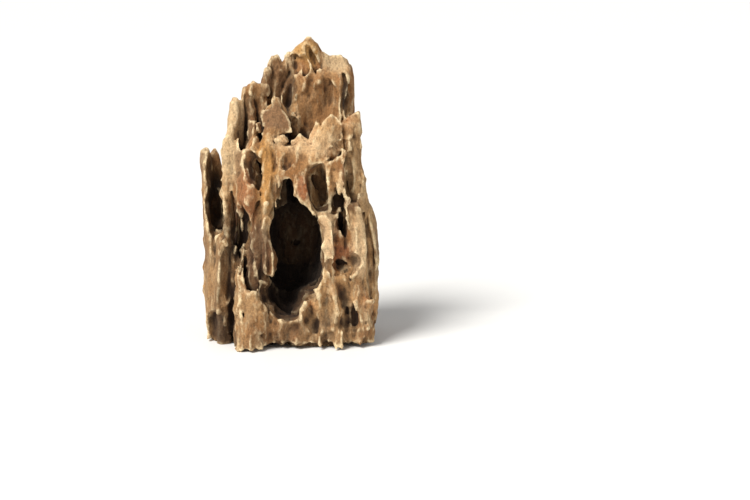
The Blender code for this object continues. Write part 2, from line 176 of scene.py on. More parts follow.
# Each hollow: name, blend, centre, half sizes, tilt of its top towards +X, nod towards +Y, and
# squareness. The scoops are open to the light.
SCOOPS = (
    ("crown_face", 1, (32, -12, 246), (23, 20, 44), -3, -12, 3.0),
    ("crown_groove_left", 1, (20, 7, 243), (3, 5, 22), 2, 0, 1.7),
    ("crown_groove_right", 1, (39, 8, 236), (2.5, 5, 22), -3, 0, 1.7),
    ("peak_groove", 1, (24, 16, 276), (2, 7, 10), -18, 0, 1.8),
    ("peak_chip", 1, (15, 8, 270), (5, 6, 10), 0, -10, 2.0),
    ("horn_face", 1, (-13, -16, 248), (11, 16, 22), 0, -20, 2.4),
    ("shoulder_scoop", 1, (-38, -26, 220), (6, 14, 30), 12, -8, 1.8),
    ("shoulder_scoop_low", 1, (-48, -46, 169), (4.5, 9, 20), 8, 0, 1.8),
    ("golden_panel", 1, (-19, -48, 182), (8, 12, 36), 2, 4, 2.8),
    ("cave_side", 2, (-27, -69, 98), (13, 22, 36), 0, 0, 2.2),
    ("shoulder_flute_low", 1, (-62, -42, 168), (3, 9, 30), 5, 0, 1.6),
    ("upper_flute", 1, (-39, -13, 236), (2.5, 9, 20), -4, 0, 1.6),
    ("foot_flute_a", 1, (22, -64, 30), (7, 15, 36), 5, 0, 1.8),
    ("foot_flute_b", 1, (57, -58, 42), (5, 14, 38), -4, 0, 1.8),
    ("foot_flute_c", 1, (-26, -72, 26), (7, 14, 30), 4, 0, 1.8),
    ("wall_dimple_a", 1, (-1, -52, 184), (7, 8, 12), 6, 0, 1.8),
    ("wall_dimple_b", 1, (16, -54, 191), (7, 9, 11), -8, 0, 1.8),
    ("wall_dimple_c", 1, (32, -51, 198), (6, 9, 15), -10, 0, 1.8),
    ("wall_dimple_d", 1, (51, -46, 203), (5, 8, 13), -6, 0, 1.8),
    ("wall_flute", 1, (46, -54, 166), (6, 9, 15), 4, 0, 1.8),
    ("wall_nick", 1, (45, -50, 190), (2, 8, 6), 45, 0, 1.8),
    ("post_ledge", 1, (67, -52, 145), (6, 8, 4), -20, 0, 1.6),
    ("shoulder_groove", 1, (-56, -50, 65), (4, 12, 26), 0, 0, 1.8),
    ("horn_groove_left", 1, (-17, 2, 257), (2, 9, 24), 3, -8, 1.7),
    ("horn_groove_right", 1, (-9, 3, 252), (2.5, 9, 26), 0, -8, 1.7),
    ("post_flute", 1, (55, -53, 108), (8, 11, 42), 4, 0, 2.0),
    ("bulge_groove", 1, (80, -34, 88), (3, 11, 36), -4, 0, 1.7),
    ("post_flute_high", 1, (68, -36, 190), (3, 7, 30), -3, 0, 1.7),
    ("low_flute_right", 1, (38, -64, 48), (7, 11, 38), 0, 0, 1.8),
    ("low_flute_left", 1, (-13, -62, 28), (6, 9, 30), 0, 0, 1.8),
    ("side_flute", 1, (87, 6, 138), (8, 12, 34), 0, 0, 1.8),
    ("side_flute_low", 1, (100, 14, 50), (10, 14, 26), 0, 0, 1.8),
    ("side_flute_high", 1, (76, 10, 197), (9, 9, 26), 0, 0, 1.8),
    ("back_flute_left", 1, (-30, 56, 170), (6, 14, 48), 3, 6, 1.8),
    ("back_flute_middle", 1, (6, 64, 138), (7, 14, 60), -3, 5, 1.8),
    ("back_flute_right", 1, (43, 58, 149), (7, 14, 50), 4, 6, 1.8),
    ("back_chip", 1, (32, 46, 258), (14, 10, 26), -8, 8, 2.2),
)

# The holes run deep and stay dark.
HOLES = (
    ("horn_hole", 1, (-22, -6, 238), (3.5, 9, 7), 0, 0, 1.8),
    ("pit", 1, (15, -15, 213), (16, 12, 20), 0, 0, 2.4),
    ("pit_floor", 1, (18, -10, 206), (8, 14, 14), 0, 0, 2.0),
    ("crown_valley", 1, (-3, 4, 260), (2.5, 10, 13), 2, -12, 1.8),
    ("crown_slot", 1, (-1, 2, 242), (5, 16, 20), 2, 0, 1.8),
    ("crown_hole", 1, (5, 12, 269), (3.5, 8, 6), 0, 0, 1.8),
    ("crack", 1, (56, 12, 239), (3, 14, 21), -5, 0, 2.2),
    ("leaf", 1, (-32, -42, 176), (5.5, 16, 19), -16, 0, 1.7),
    ("tongue_undercut", 1, (-42, -42, 124), (5, 14, 8), 0, 0, 1.8),
    ("left_slot", 1, (-49, -44, 109), (6, 26, 26), 0, 0, 1.8),
    ("fin_channel", 1, (-71, -16, 168), (7, 18, 24), -3, 0, 1.8),
    ("fin_slot", 1, (-71, -22, 131), (8, 36, 22), -3, 0, 1.9),
    ("cave", 1, (10, -36, 98), (22, 48, 39), -6, 0, 3.0),
    ("cave_foot", 1, (1, -44, 60), (13, 40, 26), 16, 0, 2.2),
    ("cave_arch", 1, (5, -24, 139), (9, 42, 25), -6, 0, 1.6),
    ("cave_slope", 1, (14, -30, 138), (6, 40, 20), -38, 0, 1.8),
    ("cave_depth", 1, (5, -6, 94), (26, 29, 40), 0, 0, 2.6),
    ("window", 1, (31, -42, 157), (8, 20, 20), -7, 0, 3.0),
    ("slit_upper", 1, (48, -42, 143), (3.5, 22, 10), 14, 0, 1.7),
    ("slit_lower", 1, (52, -42, 120), (3.2, 22, 11.5), -6, 0, 1.7),
    ("right_pocket", 1, (50, -50, 84), (8, 16, 8), 20, 0, 1.8),
    ("right_pocket_end", 1, (60, -52, 88), (7, 15, 5.5), 0, 0, 1.8),
    ("post_groove", 1, (59, -42, 172), (3.5, 14, 21), 0, 0, 1.8),
    ("front_groove", 1, (-36, -60, 90), (7, 16, 31), 0, 0, 1.8),
    ("foot_nick_front", 1, (13, -70, 22), (18, 18, 12), 10, 0, 1.8),
    ("foot_nick_left", 1, (-75, -30, 13), (6, 14, 16), 0, 0, 1.8),
    ("back_hole_left", 1, (-36, 62, 91), (8, 22, 17), 8, 0, 2.0),
    ("back_hole_low", 1, (13, 72, 61), (9, 24, 26), -6, 0, 2.0),
    ("back_hole_right", 1, (47, 62, 101), (6, 20, 14), 0, 0, 1.8),
    ("back_hole_high", 1, (-8, 52, 191), (5, 14, 15), 10, 0, 1.8),
    ("back_hole_corner", 1, (-67, 44, 67), (8, 18, 22), 0, 0, 1.8),
)

# What is added after the hollows: the broken shelf's root, the saddle, the tongue, a spike, and
# fills that keep the wear from opening slits through thin walls.
LEDGES = (
    ("shelf_root", 1, (-12, -9, 217), (15, 13, 22), 0, 12, 2.4),
    ("shelf_brace", 1, (-14, -20, 207), (13, 11, 12), -20, 0, 2.2),
    ("saddle", 1, (-28, 9, 248), (14, 11, 11), 0, 0, 2.8),
    ("crack_back", 1, (57, 33, 238), (9, 11, 31), 0, 0, 2.4),
    ("fin_fill", 1, (-68, -6, 60), (11, 20, 54), 0, 0, 2.6),
    ("tongue", 2, (-35, -42, 147), (10, 9, 18), 0, 0, 2.0),
    ("flank_fill", 1, (-54, -26, 74), (8, 12, 26), 0, 0, 2.4),
    ("foot_plug", 1, (-43, -46, 37), (7, 10, 10), 0, 0, 2.4),
    ("bulge_fill", 1, (78, -16, 96), (8, 13, 44), 0, 0, 2.4),
    ("shoulder_fill", 1, (-46, -3, 214), (8, 10, 27), 0, 0, 2.4),
    ("crown_fill", 1, (-4, 24, 262), (9, 8, 15), 0, 0, 2.4),
    ("slot_back", 1, (-53, 3, 142), (12, 12, 26), 0, 0, 2.4),
    ("horn_flank", 1, (-23, 11, 256), (8, 10, 17), 18, 0, 2.2),
    ("spike_a", 1, (-19, 17, 279), (1.5, 3, 5), -25, 0, 1.6),
)

# Each broken slab: name, y of its middle, half thickness, nod towards +Y, and its face's corners.
SLABS = (
    ("shelf", -21, 4, 20, (
        (-28, 225), (-28, 233), (-4, 233), (3, 223), (8, 213), (8.5, 205), (-14, 206), (-25, 214))),
    ("shelf_knob", -14, 6, 6, (
        (-17, 229), (-17, 240), (-13, 244), (-7, 243), (-4, 236), (-4, 229))),
    ("rim_a", -32, 4, 6, ((-15, 190), (-13, 206), (-6, 209), (4, 204), (6, 190))),
    ("rim_b", -31, 4, 6, ((4, 190), (6, 203), (12, 206), (18, 204), (20, 190))),
    ("rim_c", -31, 4, 6, ((18, 190), (20, 209), (28, 222), (36, 212), (38, 190))),
    ("rim_d", -30, 4, 6, ((34, 190), (34, 215), (42, 229), (50, 224), (56, 212), (56, 190))),
    ("post_tip", -18, 6, 0, ((54, 205), (54, 220), (61, 227), (69, 231), (72, 226), (73, 205))),
    ("crown_plate", 23, 5, 12, (
        (33, 266), (37, 280), (50, 281), (55, 275), (59, 262), (56, 236), (46, 232))),
)

# Where the rock is hard and wears less: name, share of the wear, edge, centre, half sizes, and
# squareness.
HARD = (
    ("tongue", 0.5, 8, (-35, -44, 148), (13, 14, 20), 2.0),
    ("cave_lip", 0.4, 6, (-17, -44, 102), (9, 14, 32), 2.4),
    ("fin_root", 0.3, 10, (-68, -6, 56), (15, 30, 54), 2.4),
    ("bulge", 0.4, 10, (78, -16, 96), (12, 22, 44), 2.4),
    ("post_tip", 0.35, 5, (63, -18, 219), (13, 12, 18), 2.6),
    ("cave_edge", 0.5, 5, (36, -46, 118), (7, 14, 18), 2.4),
    ("shelf", 0.3, 4, (-13, -20, 225), (19, 11, 23), 3.0),
    ("front_wall", 0.7, 6, (24, -33, 190), (46, 14, 44), 3.0),
    ("strut_band", 0.35, 5, (20, -48, 152), (12, 16, 26), 2.4),
    ("rim", 0.35, 4, (24, -31, 213), (42, 8, 15), 4.0),
    ("web", 0.65, 6, (-27, -34, 170), (20, 20, 46), 2.4),
    ("sill", 0.8, 8, (8, -44, 42), (40, 24, 28), 3.0),
    ("crown_face", 0.4, 6, (33, 8, 243), (21, 14, 34), 2.6),
    ("crown_plate", 0.25, 4, (46, 24, 268), (14, 14, 18), 2.6),
    ("crown_right", 0.35, 5, (58, 27, 240), (11, 15, 34), 2.4),
    ("crown_left", 0.6, 8, (-14, 12, 264), (26, 24, 34), 2.4),
    ("shoulder", 0.5, 8, (-50, -10, 215), (18, 26, 42), 2.4),
    ("post", 0.6, 8, (68, -20, 130), (16, 24, 100), 3.0),
    ("fin", 0.5, 8, (-76, 4, 150), (14, 30, 45), 2.4),
    ("peak", 0.45, 8, (17, 24, 284), (22, 20, 22), 2.0),
)


# --- The clay -------------------------------------------------------------------------------------

# Brings smooth noise to a range of about -1 to 1.
NOISE_GAIN = 2.2
# Spare cells of a lattice of random numbers, so that it covers the block's edges too.
SPARE_CELLS = 5
# The block's corner lies in the middle of the lattice's second cell, where bowls wear it.
LATTICE_START = 1.5
# The distance that empty clay starts from, in millimetres.
FAR = 100.0
# Keeps the slope of an egg's distance from dividing by nothing at its middle.
LEAST_REACH = 1e-3
LEAST_SLOPE = 1e-12


def smooth_min(first: Field, second: Field, blend: float) -> Field:
    """The lower of two distances, rounded where they meet.

    Args:
        first: One field of distances.
        second: The other field.
        blend: Reach of the rounding, in millimetres.

    Returns:
        The joined field.
    """
    share = np.clip(0.5 + 0.5 * (second - first) / blend, 0.0, 1.0)
    return second + (first - second) * share - blend * share * (1.0 - share)


def box_distance(local: list[Field], radii: Spot, squareness: float) -> Field:
    """Distance from a superellipsoid, an egg that grows boxier as its squareness rises above two.

    Args:
        local: Coordinates along the egg's own axes.
        radii: Its half sizes along them.
        squareness: Its exponent.

    Returns:
        Roughly the distance in millimetres, negative inside.
    """
    ratios = [np.abs(part) / radius for part, radius in zip(local, radii)]
    reach = sum(ratio**squareness for ratio in ratios) ** (1.0 / squareness)
    reach = np.maximum(reach, LEAST_REACH)
    slope = sum((ratio ** (squareness - 1.0) / radius) ** 2 for ratio, radius in zip(ratios, radii))
    return (reach - 1.0) * reach ** (squareness - 1.0) / np.maximum(np.sqrt(slope), LEAST_SLOPE)


class Solid:
    """A closed shape that clay is added to or carved with."""

    def reach(self) -> tuple[NDArray[Any], NDArray[Any]]:
        """The lowest and highest corners that the shape touches."""
        raise NotImplementedError

    def distance(self, x: Field, y: Field, z: Field) -> Field:
        """The distance from the shape, negative inside."""
        raise NotImplementedError


@dataclass(frozen=True)
class Rib(Solid):
    """An upright column whose level sections are rounded rectangles."""

    rows: tuple[tuple[float, float, float, float, float], ...]
    squareness: float
    turn: float
    girth: float = 1.0

    def reach(self) -> tuple[NDArray[Any], NDArray[Any]]:
        """The room that the column takes.

        Returns:
            The lowest and the highest corner that it touches.
        """
        rows = np.array(self.rows)
        wide = rows[:, 3:5].max(axis=1)
        low = ((rows[:, 1] - wide).min(), (rows[:, 2] - wide).min(), rows[0, 0])
        high = ((rows[:, 1] + wide).max(), (rows[:, 2] + wide).max(), rows[-1, 0])
        return np.array(low), np.array(high)

    def distance(self, x: Field, y: Field, z: Field) -> Field:
        """Distance from the column.

        Args:
            x: Places across the stone.
            y: Places from front to back.
            z: Heights.

        Returns:
            The distance in millimetres, negative inside.
        """
        rows = np.array(self.rows, np.float32)
        middle_x, middle_y, wide, deep = (
            np.interp(z, rows[:, 0], rows[:, part]).astype(np.float32) for part in (1, 2, 3, 4)
        )
        cos, sin = math.cos(math.radians(self.turn)), math.sin(math.radians(self.turn))
        across, back = x - middle_x, y - middle_y
        local = [cos * across + sin * back, cos * back - sin * across]
        side = box_distance(local, (wide * self.girth, deep * self.girth), self.squareness)
        beyond = np.maximum(z - rows[-1, 0], rows[0, 0] - z)
        return np.where(
            beyond > 0, np.hypot(np.maximum(side, 0), beyond), np.maximum(side, beyond)
        ).astype(np.float32)


@dataclass(frozen=True)
class Egg(Solid):
    """A lump that leans its top towards +X by tilt and towards +Y by nod, in degrees."""

    centre: Spot
    radii: Spot
    tilt: float
    nod: float
    squareness: float
    girth: float = 1.0

    def reach(self) -> tuple[NDArray[Any], NDArray[Any]]:
        """The lowest and highest corners that the lump touches."""
        most = max(self.radii) * self.girth
        return np.array(self.centre) - most, np.array(self.centre) + most

    def distance(self, x: Field, y: Field, z: Field) -> Field:
        """Distance from the lump.

        Args:
            x: Places across the stone.
            y: Places from front to back.
            z: Heights.

        Returns:
            The distance in millimetres, negative inside.
        """
        away = (x - self.centre[0], y - self.centre[1], z - self.centre[2])
        cos_tilt, sin_tilt = math.cos(math.radians(self.tilt)), math.sin(math.radians(self.tilt))
        cos_nod, sin_nod = math.cos(math.radians(self.nod)), math.sin(math.radians(self.nod))
        axes = (
            (cos_tilt, 0.0, -sin_tilt),
            (-sin_tilt * sin_nod, cos_nod, -cos_tilt * sin_nod),
            (sin_tilt * cos_nod, sin_nod, cos_tilt * cos_nod),
        )
        local = [sum(part * step for part, step in zip(axis, away)) for axis in axes]
        sizes = tuple(radius * self.girth for radius in self.radii)
        return box_distance(local, sizes, self.squareness).astype(np.float32)


@dataclass(frozen=True)
class Slab(Solid):
    """A flat broken piece with straight edges, whose top leans towards +Y by nod, in degrees.

    Its face is drawn as seen from the front, with the corners going clockwise as x and height.
    """

    depth: float
    thick: float
    nod: float
    corners: tuple[tuple[float, float], ...]
    girth: float = 1.0

    def reach(self) -> tuple[NDArray[Any], NDArray[Any]]:
        """The room that the slab takes, however far it nods.

        Returns:
            The lowest and the highest corner that it touches.
        """
        corners = np.array(self.corners)
        low, high = corners.min(axis=0), corners.max(axis=0)
        deep = self.thick + 0.5 * (high[1] - low[1])
        return (
            np.array((low[0], self.depth - deep, low[1] - self.thick)),
            np.array((high[0], self.depth + deep, high[1] + self.thick)),
        )

    def distance(self, x: Field, y: Field, z: Field) -> Field:
        """Distance from the slab.

        Args:
            x: Places across the stone.
            y: Places from front to back.
            z: Heights.

        Returns:
            Roughly the distance in millimetres, negative inside.
        """
        corners = np.array(self.corners)
        middle = corners.mean(axis=0)
        corners = middle + (corners - middle) * self.girth
        cos, sin = math.cos(math.radians(self.nod)), math.sin(math.radians(self.nod))
        back, up = y - self.depth, z - middle[1]
        found = np.abs(cos * back - sin * up) - self.thick * self.girth
        up = middle[1] + cos * up + sin * back
        for start, end in zip(corners, np.roll(corners, -1, axis=0)):
            along = (end - start) / np.hypot(*(end - start))
            found = np.maximum(found, along[0] * (up - start[1]) - along[1] * (x - start[0]))
        return found.astype(np.float32)


@dataclass
class Clay:
    """A block of clay held as signed distances in a grid, in millimetres, negative inside.

    Most_warp is the furthest that the bends move a shape, and skin_band is how many grains of
    distance are kept on each side of the surface when it is turned into a mesh.
    """

    low: Spot = (-108.0, -84.0, -6.0)
    high: Spot = (108.0, 84.0, 312.0)
    grain: float = 1.1
    distance: Field = field(init=False)
    places: list[Field] = field(init=False)
    softness: Field = field(init=False)
    whole: Field = field(init=False)
    rows: list[Field] = field(init=False)
    most_warp: float = field(init=False, default=7.0)
    skin_band: float = field(init=False, default=3.0)

    def __post_init__(self) -> None:
        """Fills the block with air."""
        counts = [int((top - foot) / self.grain) + 1 for foot, top in zip(self.low, self.high)]
        self.rows = [
            (foot + self.grain * np.arange(count)).astype(np.float32)
            for foot, count in zip(self.low, counts)
        ]
        self.places = list(np.meshgrid(*self.rows, indexing="ij"))
        self.softness = np.ones(self.places[0].shape, np.float32)
        self.clear()

    def clear(self) -> None:
        """Makes the whole block air again."""
        self.distance = np.full(self.places[0].shape, FAR, np.float32)

    def lattice_sizes(self, cells: Spot) -> list[int]:
        """How many cells of a lattice cover the block along each axis, with some to spare."""
        edges = zip(self.low, self.high, cells)
        return [int((top - foot) / cell) + SPARE_CELLS for foot, top, cell in edges]

    def noise(self, cells: Spot, seed: int) -> Field:
        """Smooth noise from about -1 to 1, from a lattice of random numbers.

        Args:
            cells: Size of the lattice's cells along each axis.
            seed: Seed of the random numbers.

        Returns:
            One value at each point of the grid.
        """
        sizes = self.lattice_sizes(cells)
        lattice = np.random.default_rng(seed).uniform(-1, 1, sizes).astype(np.float32)
        for axis, (row, size, cell) in enumerate(zip(self.rows, sizes, cells)):
            spread = spline_spread((row - row[0]) / cell, size)
            lattice = np.moveaxis(np.tensordot(spread, lattice, (1, axis)), 0, axis)
        return np.ascontiguousarray(lattice * NOISE_GAIN, np.float32)

    def warp(self, amounts: Spot, cells: Spot, seed: int) -> None:
        """Bends the space that the shapes are drawn in.

        Args:
            amounts: How far, along each axis.
            cells: Size of the bends.
            seed: Seed of the random numbers.
        """
        for axis, amount in enumerate(amounts):
            self.places[axis] = self.places[axis] + amount * self.noise(cells, seed + axis)

    def window(self, solid: Solid, blend: float) -> tuple[slice, ...]:
        """The part of the grid that a shape and its blend can touch.

        Args:
            solid: The shape.
            blend: Reach of the rounding round it, in millimetres.

        Returns:
            A slice of the grid along each axis.
        """
        low, high = solid.reach()
        pad = blend + self.most_warp
        starts = np.floor((low - pad - self.low) / self.grain).astype(int)
        ends = np.ceil((high + pad - self.low) / self.grain).astype(int) + 1
        return tuple(slice(max(start, 0), max(end, 0)) for start, end in zip(starts, ends))

    def add(self, solid: Solid, blend: float) -> None:
        """Adds a shape to the clay.

        Args:
            solid: The shape.
            blend: Reach of the rounding where it joins, in millimetres.
        """
        part = self.window(solid, blend)
        made = solid.distance(*(place[part] for place in self.places))
        self.distance[part] = smooth_min(self.distance[part], made, blend)

    def carve(self, solid: Solid, blend: float) -> None:
        """Takes a shape out of the clay.

        Args:
            solid: The shape.
            blend: Reach of the rounding at its rim, in millimetres.
        """
        part = self.window(solid, blend)
        made = solid.distance(*(place[part] for place in self.places))
        self.distance[part] = -smooth_min(-self.distance[part], made, blend)

    def harden(self, solid: Solid, share: float, edge: float) -> None:
        """Makes the clay inside a shape wear less.

        Args:
            solid: The shape.
            share: How much of the usual wear is left there.
            edge: Width of the change round the shape, in millimetres.
        """
        part = self.window(solid, edge)
        made = solid.distance(*(place[part] for place in self.places))
        wear = share + (1.0 - share) * np.clip(0.5 + made / edge, 0.0, 1.0)
        self.softness[part] = np.minimum(self.softness[part], wear)

    def join(self, other: Field, blend: float) -> None:
        """Joins another field of distances to the clay."""
        self.distance = smooth_min(self.distance, other, blend)

    def stand(self) -> None:
        """Cuts the clay flat at the ground."""
        self.distance = np.maximum(self.distance, -self.rows[2][None, None, :])

    def blurred(self, radius: float) -> Field:
        """The clipped distances averaged twice over a box along each axis.

        Args:
            radius: Half the width of the box, which the distances are clipped to as well.

        Returns:
            Values from -1 deep inside to 1 far outside.
        """
        reach = max(int(round(radius / self.grain)), 1)
        found = np.clip(self.distance, -radius, radius)
        for _ in range(2):
            for axis in range(3):
                found = box_mean(found, reach, axis)
        return found / radius

    def crisp(self, radius: float, share: float) -> None:
        """Makes what is proud prouder and what is sunken deeper.

        Args:
            radius: Size of the forms that change, in millimetres.
            share: How much of their height is added.
        """
        level = np.clip(self.distance, -radius, radius) - radius * self.blurred(radius)
        self.distance = self.distance + share * self.softness * level

    def sampled(self, values: Field, points: NDArray[Any]) -> Field:
        """Values of a field between the points of the grid.

        Args:
            values: The field.
            points: Places in drawn millimetres.

        Returns:
            One value for each place.
        """
        spots = (points - np.array(self.low)) / self.grain
        limit = np.array(values.shape) - 2
        base = np.clip(np.floor(spots).astype(int), 0, limit)
        part = np.clip(spots - base, 0.0, 1.0)
        total = np.zeros(len(points))
        for corner in np.ndindex(2, 2, 2):
            weight = np.prod(np.where(corner, part, 1.0 - part), axis=1)
            total += weight * values[tuple((base + corner).T)]
        return total.astype(np.float32)

    def skin(self) -> tuple[NDArray[Any], NDArray[Any]]:
        """The surface where the distance is nothing.

        Returns:
            The points in drawn millimetres, and the four corners of each face.
        """
        edge = self.skin_band * self.grain
        grid = openvdb.FloatGrid(edge)
        grid.copyFromArray(np.ascontiguousarray(np.clip(self.distance, -edge, edge)))
        points, _, quads = grid.convertToPolygons(0.0, 0.0)
        return points * self.grain + np.array(self.low), quads[:, ::-1].astype(np.int64)


def spline_spread(spots: Field, size: int) -> Field:
    """Weights that spread a row of lattice numbers over a row of places by cubic B-splines.

    Args:
        spots: The places, in steps of the lattice from its first cell.
        size: How many numbers the lattice has.

    Returns:
        One line of weights for each place.
    """
    first = np.floor(spots).astype(int)
    part = spots - first
    weights = (
        (1 - part) ** 3 / 6,
        (3 * part**3 - 6 * part**2 + 4) / 6,
        (-3 * part**3 + 3 * part**2 + 3 * part + 1) / 6,
        part**3 / 6,
    )
    spread = np.zeros((len(spots), size), np.float32)
    for step, weight in enumerate(weights):
        spread[np.arange(len(spots)), first + step] = weight
    return spread


def box_mean(values: Field, reach: int, axis: int) -> Field:
    """The mean of each value and its neighbours along one axis.

    Args:
        values: The field.
        reach: How many neighbours count on each side.
        axis: The axis.

    Returns:
        The means.
    """
    padding = [(0, 0)] * 3
    padding[axis] = (reach + 1, reach)
    sums = np.cumsum(np.pad(values, padding, mode="edge"), axis=axis, dtype=np.float64)
    count = values.shape[axis]
    width = 2 * reach + 1
    upper = np.take(sums, range(width, width + count), axis=axis)
    lower = np.take(sums, range(count), axis=axis)
    return ((upper - lower) / width).astype(np.float32)


# --- Wear -----------------------------------------------------------------------------------------


@dataclass(frozen=True)
class Crests:
    """Wear that leaves sharp upright crests, with nothing lost on their lines and depth between.

    Lift is the share of the depth that is given back all over, so that the stone keeps its girth.
    """

    cells: Spot
    depth: float
    seed: int
    width: float = 0.5
    sharpness: float = 0.8
    lift: float = 0.5

    def cut(self, clay: Clay) -> None:
        """Wears the clay between the crests.

        Args:
            clay: The clay, whose distances change in place.
        """
        lines = np.minimum(np.abs(clay.noise(self.cells, self.seed)) / self.width, 1.0)
        lost = lines**self.sharpness - self.lift
        clay.distance = clay.distance + self.depth * clay.softness * lost


@dataclass(frozen=True)
class Bowls:
    """Wear in bowls of one curvature, one round each point of a shaken lattice, meeting in rims.

    Lift is the share of the depth that is given back all over, so that the stone keeps its girth.
    Spread is how much some bowls are shallower than others, and share is how many there are. A
    point is shaken by up to shake of a cell each way, and one without a bowl lies at absent.
    """

    cells: Spot
    depth: float
    seed: int
    reach: float = 0.8
    spread: float = 0.5
    share: float = 1.0
    lift: float = 0.3
    shake: float = 0.25
    absent: float = -9.0

    def cut(self, clay: Clay) -> None:
        """Wears the clay in a band round its skin, which is all that the bowls can reach.

        Args:
            clay: The clay, whose distances change in place.
        """
        raised = self.depth * self.lift
        spare = 2 * clay.grain
        band = (clay.distance > -self.depth - spare) & (clay.distance < raised + spare)
        spots = np.stack([place[band] for place in clay.places]) - np.array(clay.low)[:, None]
        spots = (spots / np.array(self.cells)[:, None] + LATTICE_START).astype(np.float32)
        base = np.floor(spots).astype(np.int32)
        spots -= base
        rng = np.random.default_rng(self.seed)
        sizes = clay.lattice_sizes(self.cells)
        points = rng.uniform(1.0 - self.shake, 1.0 + self.shake, (3, *sizes))
        height = 1.0 - self.spread * rng.uniform(0.0, 1.0, sizes)
        height[rng.uniform(0.0, 1.0, sizes) > self.share] = self.absent
        lattice = np.concatenate([points, height[None]]).astype(np.float32)
        lattice = np.moveaxis(lattice, 0, -1).reshape(-1, 4)
        limit = np.array(sizes)[:, None] - 1
        deepest = np.zeros(spots.shape[1], np.float32)
        for step in np.ndindex(2, 2, 2):
            corner = np.array(step, np.int32)[:, None]
            found = lattice[np.ravel_multi_index(np.clip(base + corner, 0, limit), sizes)]
            away = sum((spots[axis] - step[axis] - found[:, axis] + 1.0) ** 2 for axis in range(3))
            deepest = np.maximum(deepest, found[:, 3] - away / self.reach**2)
        clay.distance[band] += clay.softness[band] * (self.depth * deepest - raised)


@dataclass(frozen=True)
class Grain:
    """A fine even roughness."""

    cells: Spot
    depth: float
    seed: int

    def cut(self, clay: Clay) -> None:
        """Wears the clay."""
        clay.distance = clay.distance + self.depth * clay.noise(self.cells, self.seed)


# --- The finish -----------------------------------------------------------------------------------


class Relief(Enum):
    """What the stone's mesh says of each point.

    The first three are about nothing on a flat and above it where proud. Depth is how far in from
    the mouth of a hole a point lies, in millimetres.
    """

    CREST = "crest"
    HOLLOW = "hollow"
    CAVE = "cave"
    DEPTH = "depth"


def linear(colour: str) -> tuple[float, float, float, float]:
    """The linear form of an sRGB colour.

    Args:
        colour: A hash and six hex digits.

    Returns:
        Red, green, blue and alpha from 0 to 1.
    """
    parts = [int(colour[start : start + 2], 16) / 255 for start in (1, 3, 5)]
    red, green, blue = (
        part / 12.92 if part <= 0.04045 else ((part + 0.055) / 1.055) ** 2.4 for part in parts
    )
    return red, green, blue, 1.0


def add_node(
    tree: bpy.types.NodeTree,
    kind: str,
    settings: dict[str, Any] | None = None,
    inputs: dict[str | int, Any] | None = None,
) -> bpy.types.Node:
    """Adds a node.

    Args:
        tree: The node tree.
        kind: Blender's name for the type of node.
        settings: Values of the node's own properties.
        inputs: For each socket, a value or the socket that feeds it.

    Returns:
        The node.
    """
    node = tree.nodes.new(kind)
    for name, value in (settings or {}).items():
        setattr(node, name, value)
    for name, value in (inputs or {}).items():
        if isinstance(value, bpy.types.NodeSocket):
            tree.links.new(value, node.inputs[name])
        else:
            node.inputs[name].default_value = value
    return node


@dataclass(frozen=True)
class StainOrPaintedLight:
    """A soft patch of one colour: iron, clay or silt that water has left on the stone, or a painted
    shade or painted highlight.

    Its centre and half sizes are in drawn millimetres.
    """

    name: str
    colour: str
    centre: Spot
    radii: Spot
    strength: float = 0.6
